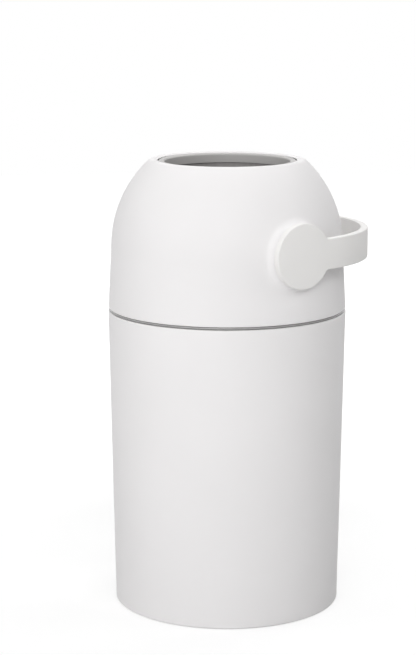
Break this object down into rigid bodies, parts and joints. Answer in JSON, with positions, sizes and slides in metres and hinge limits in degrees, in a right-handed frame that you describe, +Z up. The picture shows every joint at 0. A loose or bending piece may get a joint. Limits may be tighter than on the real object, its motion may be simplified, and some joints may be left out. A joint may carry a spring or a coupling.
{
  "type": "nappy bin",
  "caption": "Tall round nappy bin with a tapered body, a lift-off domed head, a turnover drum with a sliding piston, and a swing-over handle.",
  "frame": {"origin": "middle of the underside of the non-slip pad, on the floor under the bin's axis", "axes": "+Z up along the bin's axis; the drum turns about a line along Y; +X is the side that the handle points to at rest"},
  "size_m": [0.2778, 0.26, 0.4745],
  "materials": {
    "shell_white": "satin moulded plastic, plain white",
    "handle_white": "satin moulded plastic, white",
    "ring_grey": "matt moulded plastic, mid grey",
    "drum_grey": "satin moulded plastic, light grey",
    "liner_grey": "satin moulded plastic, mid grey",
    "pad_rubber": "matt soft rubber",
    "gasket_rubber": "matt soft rubber",
    "seal_felt": "short grey felt",
    "bush_natural": "natural acetal, slightly glossy",
    "screw_steel": "zinc-plated steel"
  },
  "bodies": {
    "bin": {"bin_body": "shell_white", "non_slip_pad": "pad_rubber"},
    "ring": {"bag_ring": "ring_grey"},
    "head": {"head_shell": "shell_white", "drum_cradle": "drum_grey", "head_gasket": "gasket_rubber", "upper_seal": "seal_felt", "lower_seal": "seal_felt", "bush_front": "bush_natural", "bush_rear": "bush_natural", "cradle_screw_1": "screw_steel", "cradle_screw_2": "screw_steel", "cradle_screw_3": "screw_steel", "cradle_screw_4": "screw_steel"},
    "drum": {"drum_half_upper": "drum_grey", "drum_half_lower": "drum_grey", "mouth_ring_upper": "drum_grey", "mouth_ring_lower": "drum_grey", "chamber_liner": "liner_grey", "hub_front": "bush_natural", "hub_rear": "bush_natural", "handle": "handle_white", "drum_screw_1": "screw_steel", "drum_screw_2": "screw_steel", "drum_screw_3": "screw_steel", "drum_screw_4": "screw_steel"},
    "piston": {"piston_body": "drum_grey", "piston_cover": "drum_grey", "piston_seal": "seal_felt"}
  },
  "joints": [
    {"name": "ring_lift", "type": "slide", "parent": "bin", "child": "ring", "axis": [0, 0, 1], "range_m": [0, 0.05]},
    {"name": "head_lift", "type": "slide", "parent": "ring", "child": "head", "axis": [0, 0, 1], "range_m": [0, 0.2]},
    {"name": "drum_turn", "type": "hinge", "parent": "head", "child": "drum", "pos_m": [0, 0, 0.3853], "axis": [0, -1, 0], "range_deg": [0, 180]},
    {"name": "piston_drop", "type": "slide", "parent": "drum", "child": "piston", "axis": [0, 0, 1], "range_m": [0, 0.122]}
  ]
}
